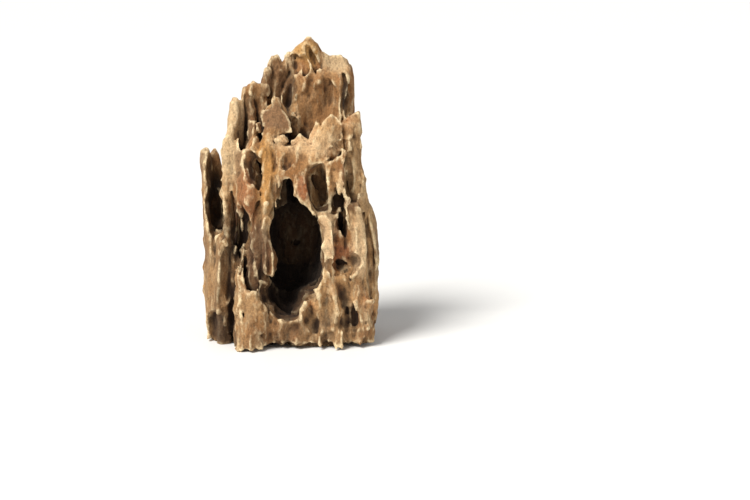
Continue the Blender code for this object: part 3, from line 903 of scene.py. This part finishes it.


# Stains of iron, clay and silt, with patches of painted shade and painted highlight among them.
STAINS_AND_PAINTED_LIGHT = (
    StainOrPaintedLight("shoulder_cream", "#cbae85", (-55, -20, 205), (19, 30, 46), 0.7),
    # Painted shade on the shoulder's right flank, where a flute would be shaded.
    StainOrPaintedLight("shoulder_flank_shade", "#8f704d", (-46, -26, 205), (5, 22, 30), 0.6),
    # Painted shade in the hollow behind the shelf's left side.
    StainOrPaintedLight("shelf_side_shade", "#5f4329", (-37, -14, 221), (7, 22, 24), 0.75),
    StainOrPaintedLight("shoulder_shade", "#7c5c3d", (-46, -44, 179), (6, 16, 22), 0.75),
    StainOrPaintedLight("slot_shade", "#3f2c1b", (-3, 2, 246), (7, 18, 26), 0.7),
    StainOrPaintedLight("peak_side", "#b98d50", (22, 10, 280), (8, 20, 16), 0.55),
    # Painted shade over the top of the fin, which lies back in the shade.
    StainOrPaintedLight("fin_top_shade", "#66503c", (-77, -8, 178), (13, 30, 26), 0.6),
    StainOrPaintedLight("golden_panel", "#bd8a4c", (-22, -46, 178), (13, 18, 42), 0.75),
    StainOrPaintedLight("orange_tongue", "#96623c", (-38, -44, 148), (11, 16, 30), 0.8),
    StainOrPaintedLight("peak_gold", "#c39559", (12, 14, 283), (10, 14, 12), 0.7),
    StainOrPaintedLight("peak_rust", "#a0683c", (12, 12, 268), (7, 14, 12), 0.4),
    StainOrPaintedLight("crown_brown", "#94693f", (30, 4, 240), (26, 18, 40), 0.75),
    StainOrPaintedLight("crown_silt", "#bba07a", (46, 24, 271), (15, 14, 17), 0.8),
    StainOrPaintedLight("crown_left_brown", "#745233", (-12, 8, 254), (18, 18, 28), 0.85),
    # Painted shade: the crack is laid near black.
    StainOrPaintedLight("crack", "#20150c", (56, 14, 238), (4.5, 9, 21), 0.9),
    StainOrPaintedLight("fin_brown", "#7f6040", (-74, 0, 120), (18, 34, 70), 0.5),
    StainOrPaintedLight("shelf_brown", "#77563a", (-12, -24, 223), (20, 10, 19), 0.85),
    StainOrPaintedLight("strut_rust", "#96552f", (16, -50, 158), (7, 14, 12), 0.7),
    StainOrPaintedLight("ledge_pink", "#b5816a", (64, -48, 143), (10, 14, 8), 0.6),
    StainOrPaintedLight("rim_cream", "#d9b68a", (24, -40, 202), (40, 16, 12), 0.4),
    # Painted highlight on the lit strut left of the slits.
    StainOrPaintedLight("strut_highlight", "#dcbd92", (40, -54, 116), (8, 14, 34), 0.6),
    # Painted shade in the valley between the strut and the post.
    StainOrPaintedLight("valley_shade", "#6e4c30", (52, -46, 118), (7, 12, 30), 0.5),
    # Painted highlight on the bulge at the lower right.
    StainOrPaintedLight("bulge_highlight", "#d8b990", (70, -42, 105), (9, 16, 34), 0.6),
    StainOrPaintedLight("post_shade", "#7d6850", (89, -20, 115), (10, 28, 58), 0.6),
    StainOrPaintedLight("foot_grey", "#77593b", (20, -40, 12), (84, 52, 24), 0.5),
    StainOrPaintedLight("post_grey", "#aa8a60", (70, -24, 160), (18, 30, 70), 0.6),
    StainOrPaintedLight("flank_grey", "#8c6d4a", (-55, -24, 55), (42, 46, 72), 0.55),
    StainOrPaintedLight("pocket_red", "#82492d", (52, -46, 94), (13, 14, 9), 0.6),
    # Painted shade on the cave's sloping left wall.
    StainOrPaintedLight("cave_side", "#573a24", (-27, -52, 95), (15, 18, 40), 0.85),
    # Painted shadow in the leaf-shaped hollow.
    StainOrPaintedLight("leaf", "#38241a", (-32, -35, 176), (6, 11, 19), 0.8),
    # Painted shade in the fin's channel.
    StainOrPaintedLight("fin_channel", "#2c1d11", (-71, -1, 168), (9, 14, 24), 0.8),
    # Painted shadow, near black, in the fin's slot.
    StainOrPaintedLight("fin_slot", "#150d07", (-71, -4, 134), (11, 20, 30), 0.95),
    # Painted shadow, near black, in the left slot.
    StainOrPaintedLight("left_slot", "#1d130b", (-49, -34, 112), (8, 16, 28), 0.9),
)


# A stain or painted shade or highlight patch is full within 0.65 of its half size and gone beyond
# 1.25, give or take its ragged edge, because the noise that is added to the distance has its middle
# at 0.5.
STAIN_AND_PAINTED_LIGHT_EDGE = (1.75, 1.15)

CREAM = "#e4cba0"
OCHRE = "#b88f60"
BROWN = "#875c33"
RUST = "#a96837"
UMBER = "#2c1c11"
# Near black, for the painted shade deep in holes.
SHADE_BLACK = "#170f08"


@dataclass(frozen=True)
class Noise:
    """A noise of spots of one width in millimetres, some times taller than wide.

    Detail is how many octaves of finer noise it has.
    """

    size: float
    tall: float = 1.0
    detail: float = 3.0


@dataclass(frozen=True)
class Veil:
    """A colour that shows where a noise has passed from low to high."""

    colour: str
    noise: Noise
    low: float
    high: float
    strength: float = 1.0


@dataclass(frozen=True)
class Shade:
    """A colour that shows where the relief has passed from low to high."""

    colour: str
    relief: Relief
    low: float
    high: float
    strength: float


@dataclass(frozen=True)
class Tooth:
    """Fine roughness that only the shading shows, of one depth in millimetres."""

    noise: Noise
    depth: float
    strength: float


# Sizes are those of a real piece: beds of colour about 4 cm wide, silt that has run down in streaks
# 7 mm wide, and rust 2 to 3 cm across. The wash marks are 2 to 3 mm wide.
BEDS = (
    Veil(OCHRE, Noise(42.0, 1.6), 0.38, 0.62),
    Veil(CREAM, Noise(7.0, 2.5, 4.0), 0.48, 0.68, 0.55),
    Veil(RUST, Noise(26.0, 2.0, 4.0), 0.52, 0.68, 0.6),
)
WASH_MARKS = Veil(UMBER, Noise(2.4, 2.5), 0.5, 0.36, 0.32)
# Painted shade: pores, hollows and caves are darkened towards umber, and a deep hole is painted near
# black.
HOLLOW_SHADE = (
    Shade(UMBER, Relief.CREST, -0.06, -0.4, 0.7),
    Shade(UMBER, Relief.HOLLOW, -0.08, -0.4, 0.85),
    Shade(UMBER, Relief.CAVE, -0.1, -0.4, 0.65),
    Shade(UMBER, Relief.DEPTH, 3.0, 14.0, 0.75),
    Shade(SHADE_BLACK, Relief.DEPTH, 12.0, 34.0, 0.9),
)
# Proud edges are lightened to cream, partly by dried clay and partly as painted highlight, except
# where they were rubbed, in spots of about 5 mm.
CREST_DUST_AND_HIGHLIGHT = Shade(CREAM, Relief.CREST, 0.1, 0.42, 0.9)
RUBBED = Veil(CREAM, Noise(5.0, 2.0, 4.0), 0.34, 0.58)
# The ragged edge of a stain or of a painted shade or highlight patch.
RAG = Noise(12.0, 2.0)
# The rock's sand grains are 0.2 to 0.5 mm wide and too fine to show, so its specks are drawn four
# times as coarse, and so are its fibres. The grit stays as fine as it can.
SPECK = Noise(1.8, 1.0, 2.0)
SPECK_RANGE = (0.3, 0.7)
SPECK_SHADES = (0.76, 1.22)
GLOSS = Noise(1.8)
TEETH = (
    Tooth(Noise(2.8, 1.6, 5.0), depth=2.0, strength=0.85),
    Tooth(Noise(0.7, 1.0, 2.0), depth=0.4, strength=0.4),
)


@dataclass(frozen=True)
class ClayRock:
    """Ohko stone, a clay-rich sedimentary rock that water has washed out along its grain.

    It is matt and earthy. Proud edges are pale cream, partly dried clay and partly painted
    highlight, flats are ochre to brown with rusty stains of iron, and hollows are darkened as
    painted shade, so the colour follows the relief.
    """

    name: str = "ohko_clay_rock"
    ior: float = 1.5
    specular: float = 0.35
    roughness: float = 0.9
    uneven_gloss: float = 0.08

    def material(self) -> bpy.types.Material:
        """The rock as a material.

        Returns:
            A material whose patterns lie in the stone's own space.
        """
        made = bpy.data.materials.new(self.name)
        made.use_nodes = True
        tree = made.node_tree
        shader = tree.nodes["Principled BSDF"]
        shader.inputs["IOR"].default_value = self.ior
        shader.inputs["Specular IOR Level"].default_value = self.specular
        place = add_node(tree, "ShaderNodeTexCoord").outputs["Object"]
        tree.links.new(self.colour(tree, place), shader.inputs["Base Color"])
        rough = add_node(
            tree,
            "ShaderNodeMapRange",
            inputs={
                "Value": self.pattern(tree, place, GLOSS),
                "To Min": self.roughness - self.uneven_gloss,
                "To Max": self.roughness + self.uneven_gloss,
            },
        )
        tree.links.new(rough.outputs["Result"], shader.inputs["Roughness"])
        tree.links.new(self.bump(tree, place), shader.inputs["Normal"])
        return made

    def pattern(
        self, tree: bpy.types.NodeTree, place: bpy.types.NodeSocket, noise: Noise
    ) -> bpy.types.NodeSocket:
        """One of the noises.

        Args:
            tree: The material's nodes.
            place: The coordinates.
            noise: The noise's sizes.

        Returns:
            Values from 0 to 1.
        """
        stretched = add_node(
            tree,
            "ShaderNodeMapping",
            inputs={"Vector": place, "Scale": (1.0, 1.0, 1.0 / noise.tall)},
        )
        made = add_node(
            tree,
            "ShaderNodeTexNoise",
            inputs={
                "Vector": stretched.outputs["Vector"],
                "Scale": 1.0 / (noise.size * METRES),
                "Detail": noise.detail,
                "Roughness": 0.6,
            },
        )
        return made.outputs["Fac"]

    def ramp(
        self, tree: bpy.types.NodeTree, value: bpy.types.NodeSocket, low: float, high: float
    ) -> bpy.types.NodeSocket:
        """A smooth rise from 0 to 1 as a value goes from low to high.

        Args:
            tree: The material's nodes.
            value: The value.
            low: Where the rise starts.
            high: Where it ends, which may be lower than where it starts.

        Returns:
            Values from 0 to 1.
        """
        node = add_node(
            tree,
            "ShaderNodeMapRange",
            settings={"interpolation_type": "SMOOTHSTEP"},
            inputs={"Value": value, "From Min": low, "From Max": high},
        )
        return node.outputs["Result"]

    def blend(
        self,
        tree: bpy.types.NodeTree,
        share: bpy.types.NodeSocket | float,
        under: bpy.types.NodeSocket | str,
        over: bpy.types.NodeSocket | str,
        mode: str = "MIX",
    ) -> bpy.types.NodeSocket:
        """One colour laid over another.

        Args:
            tree: The material's nodes.
            share: How much of the upper colour shows.
            under: The lower colour, as a socket or hex.
            over: The upper colour, as a socket or hex.
            mode: Blender's name for how they mix.

        Returns:
            The mixed colour.
        """
        mixed = add_node(
            tree,
            "ShaderNodeMix",
            settings={"data_type": "RGBA", "blend_type": mode},
            inputs={
                0: share,
                6: linear(under) if isinstance(under, str) else under,
                7: linear(over) if isinstance(over, str) else over,
            },
        )
        return mixed.outputs[2]

    def scaled(
        self, tree: bpy.types.NodeTree, value: bpy.types.NodeSocket, factor: Any
    ) -> bpy.types.NodeSocket:
        """A value times a factor or another value."""
        inputs = {0: value, 1: factor}
        return add_node(tree, "ShaderNodeMath", {"operation": "MULTIPLY"}, inputs).outputs["Value"]

    def veiled(
        self, tree: bpy.types.NodeTree, place: bpy.types.NodeSocket, veil: Veil
    ) -> bpy.types.NodeSocket:
        """How much of a veil shows at each point."""
        share = self.ramp(tree, self.pattern(tree, place, veil.noise), veil.low, veil.high)
        return self.scaled(tree, share, veil.strength)

    def shaded(self, tree: bpy.types.NodeTree, shade: Shade) -> bpy.types.NodeSocket:
        """How much of a shade shows at each point.

        Args:
            tree: The material's nodes.
            shade: The shade.

        Returns:
            Values from 0 to the shade's strength.
        """
        settings = {"attribute_name": shade.relief.value}
        read = add_node(tree, "ShaderNodeAttribute", settings).outputs["Fac"]
        return self.scaled(tree, self.ramp(tree, read, shade.low, shade.high), shade.strength)

    def spread(
        self, tree: bpy.types.NodeTree, place: bpy.types.NodeSocket, stain_or_painted_light: StainOrPaintedLight
    ) -> bpy.types.NodeSocket:
        """How much of a stain or painted shade or highlight patch shows at each point, with a ragged
        edge.

        Args:
            tree: The material's nodes.
            place: The coordinates.
            stain_or_painted_light: The stain or painted shade or highlight patch.

        Returns:
            Values from 0 to its strength.
        """
        round_it = add_node(
            tree,
            "ShaderNodeMapping",
            settings={"vector_type": "TEXTURE"},
            inputs={
                "Vector": place,
                "Location": [part * METRES for part in stain_or_painted_light.centre],
                "Scale": [part * METRES for part in stain_or_painted_light.radii],
            },
        )
        far = add_node(
            tree,
            "ShaderNodeVectorMath",
            settings={"operation": "LENGTH"},
            inputs={0: round_it.outputs["Vector"]},
        )
        total = add_node(
            tree,
            "ShaderNodeMath",
            settings={"operation": "ADD"},
            inputs={0: far.outputs["Value"], 1: self.pattern(tree, place, RAG)},
        )
        share = self.ramp(tree, total.outputs["Value"], *STAIN_AND_PAINTED_LIGHT_EDGE)
        return self.scaled(tree, share, stain_or_painted_light.strength)

    def colour(
        self, tree: bpy.types.NodeTree, place: bpy.types.NodeSocket
    ) -> bpy.types.NodeSocket:
        """The rock's colour: beds, then stains and painted shade and highlight patches, wash marks,
        cream and painted highlight on the crests, painted shade in the hollows, and specks.

        Args:
            tree: The material's nodes.
            place: The coordinates.

        Returns:
            The colour.
        """
        colour: bpy.types.NodeSocket | str = BROWN
        for veil in BEDS:
            colour = self.blend(tree, self.veiled(tree, place, veil), colour, veil.colour)
        # Lays on the stains and the patches of painted shade and painted highlight.
        for stain_or_painted_light in STAINS_AND_PAINTED_LIGHT:
            colour = self.blend(tree, self.spread(tree, place, stain_or_painted_light), colour, stain_or_painted_light.colour)
        marks = self.veiled(tree, place, WASH_MARKS)
        colour = self.blend(tree, marks, colour, WASH_MARKS.colour)
        # Cream on the crests, partly dried clay and partly painted highlight, missing where rubbed.
        rubbed = self.veiled(tree, place, RUBBED)
        dust_and_highlight = self.scaled(tree, self.shaded(tree, CREST_DUST_AND_HIGHLIGHT), rubbed)
        colour = self.blend(tree, dust_and_highlight, colour, CREST_DUST_AND_HIGHLIGHT.colour)
        # Painted shade: pores, hollows, caves and deep holes are darkened.
        for shade in HOLLOW_SHADE:
            colour = self.blend(tree, self.shaded(tree, shade), colour, shade.colour)
        specks = add_node(
            tree,
            "ShaderNodeMapRange",
            inputs={
                "Value": self.pattern(tree, place, SPECK),
                "From Min": SPECK_RANGE[0],
                "From Max": SPECK_RANGE[1],
                "To Min": SPECK_SHADES[0],
                "To Max": SPECK_SHADES[1],
            },
        )
        return self.blend(tree, 1.0, colour, specks.outputs["Result"], "MULTIPLY")

    def bump(self, tree: bpy.types.NodeTree, place: bpy.types.NodeSocket) -> bpy.types.NodeSocket:
        """Fine upright fibres with grit on them.

        Args:
            tree: The material's nodes.
            place: The coordinates.

        Returns:
            The normal.
        """
        normal: dict[str | int, Any] = {}
        for tooth in TEETH:
            inputs = {
                "Strength": tooth.strength,
                "Distance": tooth.depth * METRES,
                "Height": self.pattern(tree, place, tooth.noise),
            }
            made = add_node(tree, "ShaderNodeBump", inputs=inputs | normal)
            normal = {"Normal": made.outputs["Normal"]}
        return normal["Normal"]


# --- The stone ------------------------------------------------------------------------------------

# The wear before and after the slim bones are joined back, which keep thin tips from wearing off.
COARSE_WEAR = (
    Crests((21, 21, 70), depth=3.2, seed=5, lift=0.2),
    Bowls((32, 32, 56), depth=7.0, seed=11, lift=0.05),
    Bowls((15, 15, 25), depth=5.5, seed=12, lift=0.1),
)
FINE_WEAR = (
    Crests((9, 9, 24), depth=1.5, seed=6, lift=0.2),
    Bowls((8, 8, 13), depth=1.9, seed=13, lift=0.15),
    Bowls((4, 4, 9), depth=1.1, seed=17, lift=0.15),
    Bowls((3, 3, 5), depth=0.6, seed=16, lift=0.2),
    Bowls((16, 16, 20), depth=3.5, seed=14, reach=0.22, share=0.12, spread=0.4, lift=0.0),
    Grain((2.4, 2.4, 4), depth=0.2, seed=15),
)


# Bends of the space that the shapes are drawn in: how far along each axis, their sizes and a seed.
# The first are for all the shapes, the next for the hollows, and the last draws out the wear.
SHAPE_BENDS = (
    ((2.0, 2.5, 2.0), (38, 38, 60), 21),
    ((0.9, 1.0, 0.8), (13, 13, 26), 31),
)
HOLLOW_BENDS = (
    ((2.2, 2.2, 2.6), (12, 12, 16), 51),
    ((1.0, 1.0, 1.2), (5, 5, 7), 61),
)
WEAR_BEND = ((2.5, 2.5, 6.0), (14, 14, 26), 41)
# The bones are the ribs and ledges at half their girth, with the hollows a little wider.
BONE_GIRTH = 0.5
BONE_HOLLOWS = 1.06
BONE_BLEND = 1.5
SLAB_BLEND = 0.6
# Forms of up to 4 mm are made prouder or deeper by 0.4 of their height.
CRISP_REACH = 4.0
CRISP_SHARE = 0.4


def worn_clay(grain: float) -> Clay:
    """The whole stone in clay, with all its wear.

    Args:
        grain: Spacing of the grid in millimetres.

    Returns:
        The clay.
    """
    clay = Clay(grain=grain)
    for bend in SHAPE_BENDS:
        clay.warp(*bend)
    rough_out(clay, slim=BONE_GIRTH, swell=BONE_HOLLOWS)
    bones = clay.distance
    clay.clear()
    rough_out(clay)
    clay.stand()
    for _, share, edge, centre, radii, squareness in HARD:
        clay.harden(Egg(centre, radii, 0, 0, squareness), share, edge)
    clay.warp(*WEAR_BEND)
    for wear in COARSE_WEAR:
        wear.cut(clay)
    clay.join(bones, BONE_BLEND)
    for wear in FINE_WEAR:
        wear.cut(clay)
    clay.crisp(CRISP_REACH, CRISP_SHARE)
    clay.stand()
    return clay


def rough_out(clay: Clay, slim: float = 1.0, swell: float = 1.0) -> None:
    """Sets up the ribs, carves the hollows and adds the ledges and slabs.

    Args:
        clay: The block to work on.
        slim: Girth of the ribs and ledges.
        swell: Girth of the hollows.
    """
    for _, blend, squareness, turn, rows in RIBS:
        clay.add(Rib(rows, squareness, turn, slim), blend)
    straight = list(clay.places)
    for bend in HOLLOW_BENDS:
        clay.warp(*bend)
    for _, blend, centre, radii, tilt, nod, squareness in SCOOPS:
        clay.carve(Egg(centre, radii, tilt, nod, squareness, swell), blend)
    clay.whole = clay.distance.copy()
    for _, blend, centre, radii, tilt, nod, squareness in HOLES:
        clay.carve(Egg(centre, radii, tilt, nod, squareness, swell), blend)
    clay.places = straight
    for _, blend, centre, radii, tilt, nod, squareness in LEDGES:
        clay.add(Egg(centre, radii, tilt, nod, squareness, slim), blend)
    for _, depth, thick, nod, corners in SLABS:
        clay.add(Slab(depth, thick, nod, corners, slim), SLAB_BLEND)


# --- The mesh -------------------------------------------------------------------------------------


def largest_shell(count: int, faces: NDArray[Any]) -> NDArray[Any]:
    """Which points belong to the largest joined skin, so that crumbs and sealed bubbles fall away.

    Args:
        count: How many points there are.
        faces: The corners of each face.

    Returns:
        True for each point of that skin.
    """
    ends = np.concatenate([faces[:, [0, 1]], faces[:, [1, 2]], faces[:, [2, 3]]])
    labels = np.arange(count)
    while True:
        lowest = np.minimum(labels[ends[:, 0]], labels[ends[:, 1]])
        before = labels.copy()
        np.minimum.at(labels, ends[:, 0], lowest)
        np.minimum.at(labels, ends[:, 1], lowest)
        labels = labels[labels]
        if np.array_equal(before, labels):
            break
    return labels == np.bincount(labels).argmax()


def skin_mesh(name: str, points: NDArray[Any], faces: NDArray[Any]) -> bpy.types.Mesh:
    """A mesh of the largest skin among these faces.

    Args:
        name: The mesh's name.
        points: Places in drawn millimetres.
        faces: The corners of each face.

    Returns:
        The mesh, still in drawn millimetres.
    """
    kept = largest_shell(len(points), faces)
    faces = (np.cumsum(kept) - 1)[faces[kept[faces[:, 0]]]]
    mesh = bpy.data.meshes.new(name)
    mesh.from_pydata(points[kept], [], faces)
    mesh.update()
    return mesh


@dataclass
class DragonStone:
    """The one stone: its clay, its mesh and what the mesh says of its own relief.

    Grain and the reaches are in millimetres, and sharp_edge is in degrees.
    """

    finish: ClayRock
    grain: float = 1.0
    triangles: int = 190_000
    sharp_edge: float = 60.0
    crest_reach: float = 1.8
    hollow_reach: float = 7.0
    cave_reach: float = 16.0

    def thinned(self, mesh: bpy.types.Mesh) -> bpy.types.Mesh:
        """The mesh with fewer triangles on its flatter parts.

        Args:
            mesh: The full mesh.

        Returns:
            A new mesh with about as many triangles as the stone may have.
        """
        obj = bpy.data.objects.new("thinning", mesh)
        bpy.context.scene.collection.objects.link(obj)
        decimate = obj.modifiers.new("thin", "DECIMATE")
        decimate.ratio = min(self.triangles / (2 * len(mesh.polygons)), 1.0)
        graph = bpy.context.evaluated_depsgraph_get()
        made = bpy.data.meshes.new_from_object(obj.evaluated_get(graph))
        bpy.data.objects.remove(obj, do_unlink=True)
        return made

    def note_relief(self, mesh: bpy.types.Mesh, clay: Clay) -> None:
        """Writes how proud or sunken each point lies, at three sizes, and how deep in a hole.

        Args:
            mesh: The mesh, still in drawn millimetres.
            clay: The clay that it was made from.
        """
        points = np.zeros(len(mesh.vertices) * 3, np.float32)
        mesh.vertices.foreach_get("co", points)
        points = points.reshape(-1, 3)
        for name, reach in (
            (Relief.CREST, self.crest_reach),
            (Relief.HOLLOW, self.hollow_reach),
            (Relief.CAVE, self.cave_reach),
        ):
            values = clay.sampled(clay.blurred(reach), points)
            mesh.attributes.new(name.value, "FLOAT", "POINT").data.foreach_set("value", values)
        values = -clay.sampled(clay.whole, points)
        mesh.attributes.new(Relief.DEPTH.value, "FLOAT", "POINT").data.foreach_set("value", values)

    def build(self) -> bpy.types.Object:
        """Sculpts the stone and sets it in the frame.

        Returns:
            The stone, in metres.
        """
        clay = worn_clay(self.grain)
        mesh = self.thinned(skin_mesh("worn_stone", *clay.skin()))
        self.note_relief(mesh, clay)
        points = np.zeros(len(mesh.vertices) * 3, np.float32)
        mesh.vertices.foreach_get("co", points)
        points = points.reshape(-1, 3) - np.array((*DRAWN_CENTRE, 0.0), np.float32)
        mesh.vertices.foreach_set("co", (points * STONE_SCALE * METRES).ravel())
        mesh.update()
        mesh.shade_smooth()
        mesh.set_sharp_from_angle(angle=math.radians(self.sharp_edge))
        mesh.materials.append(self.finish.material())
        stone = bpy.data.objects.new("worn_stone", mesh)
        bpy.context.scene.collection.objects.link(stone)
        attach(stone, "root")
        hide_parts("dragon_stone")
        LOG.info("%s: %d triangles", stone.name, sum(len(f.vertices) - 2 for f in mesh.polygons))
        return stone


# --- The studio -----------------------------------------------------------------------------------


@dataclass(frozen=True)
class FloorPaint:
    """Satin white studio paint, which is almost white and shows a faint soft reflection."""

    name: str = "satin_white_paint"
    white: str = "#efeeeb"
    roughness: float = 0.45

    def material(self) -> bpy.types.Material:
        """The paint as a material.

        Returns:
            A material of one colour, because studio paint shows no pattern.
        """
        made = bpy.data.materials.new(self.name)
        made.use_nodes = True
        shader = made.node_tree.nodes["Principled BSDF"]
        shader.inputs["Base Color"].default_value = linear(self.white)
        shader.inputs["Roughness"].default_value = self.roughness
        return made


@dataclass(frozen=True)
class SoftSun:
    """One far, large and soft lamp that lights the floor evenly."""

    name: str
    azimuth: float
    elevation: float
    softness: float
    strength: float
    colour: str

    def build(self) -> None:
        """Hangs the lamp, azimuth 0 in front of the stone and 90 to its right."""
        lamp = bpy.data.lights.new(self.name, "SUN")
        lamp.angle = math.radians(self.softness)
        lamp.energy = self.strength
        lamp.color = linear(self.colour)[:3]
        turn, rise = math.radians(self.azimuth), math.radians(self.elevation)
        out = Vector(
            (math.sin(turn) * math.cos(rise), -math.cos(turn) * math.cos(rise), math.sin(rise))
        )
        obj = bpy.data.objects.new(self.name, lamp)
        obj.rotation_euler = out.to_track_quat("Z", "Y").to_euler()
        bpy.context.scene.collection.objects.link(obj)


@dataclass(frozen=True)
class Studio:
    """A pale floor, an even white surround, soft lamps and the camera."""

    floor_radius: float = 6.0
    surround: str = "#ffffff"
    surround_strength: float = 0.35
    backdrop_strength: float = 1.1
    lens: float = 80.0
    sensor: float = 36.0
    elevation: float = 12.0
    camera_distance: float = 1.667
    aside: float = 0.0845
    above: float = 0.087
    lamps: tuple[SoftSun, ...] = (
        SoftSun("key", -44, 50, 26, 4.3, "#fffefc"),
        SoftSun("fill", 60, 30, 60, 0.35, "#ffffff"),
    )

    def build(self) -> None:
        """Sets up the whole studio."""
        self.build_floor()
        self.build_surround()
        for lamp in self.lamps:
            lamp.build()
        self.build_camera()
        bpy.context.scene.view_settings.view_transform = "Standard"

    def build_floor(self) -> None:
        """Lays a round floor at the stone's foot."""
        mesh = bpy.data.meshes.new("studio_floor")
        bm = bmesh.new()
        bmesh.ops.create_circle(bm, cap_ends=True, segments=96, radius=self.floor_radius)
        bm.to_mesh(mesh)
        bm.free()
        mesh.materials.append(FloorPaint().material())
        floor = bpy.data.objects.new("studio_floor", mesh)
        bpy.context.scene.collection.objects.link(floor)

    def build_surround(self) -> None:
        """Lights the scene evenly from all round."""
        world = bpy.data.worlds.new("studio_surround")
        world.use_nodes = True
        tree = world.node_tree
        background = tree.nodes["Background"]
        background.inputs["Color"].default_value = linear(self.surround)
        seen = add_node(tree, "ShaderNodeLightPath").outputs["Is Camera Ray"]
        strength = add_node(
            tree,
            "ShaderNodeMapRange",
            inputs={
                "Value": seen,
                "To Min": self.surround_strength,
                "To Max": self.backdrop_strength,
            },
        )
        tree.links.new(strength.outputs["Result"], background.inputs["Strength"])
        bpy.context.scene.world = world

    def build_camera(self) -> None:
        """Stands the camera in front of the stone, a little above it and aside, with no shift."""
        rise = math.radians(self.elevation)
        ahead = Vector((0.0, math.cos(rise), -math.sin(rise)))
        upwards = Vector((0.0, math.sin(rise), math.cos(rise)))
        data = bpy.data.cameras.new("camera")
        data.lens = self.lens
        data.sensor_width = self.sensor
        camera = bpy.data.objects.new("camera", data)
        camera.location = (
            Vector((self.aside, -DRAWN_CENTRE[1] * METRES, 0.0))
            - ahead * self.camera_distance
            + upwards * self.above
        )
        camera.rotation_euler = (math.radians(90.0 - self.elevation), 0.0, 0.0)
        bpy.context.scene.collection.objects.link(camera)
        bpy.context.scene.camera = camera


def main() -> None:
    """Builds the stone, then the studio round it."""
    logging.basicConfig(level=logging.INFO, format="%(name)s: %(message)s")
    DragonStone(ClayRock()).build()
    Studio().build()


if __name__ == "__main__":
    main()
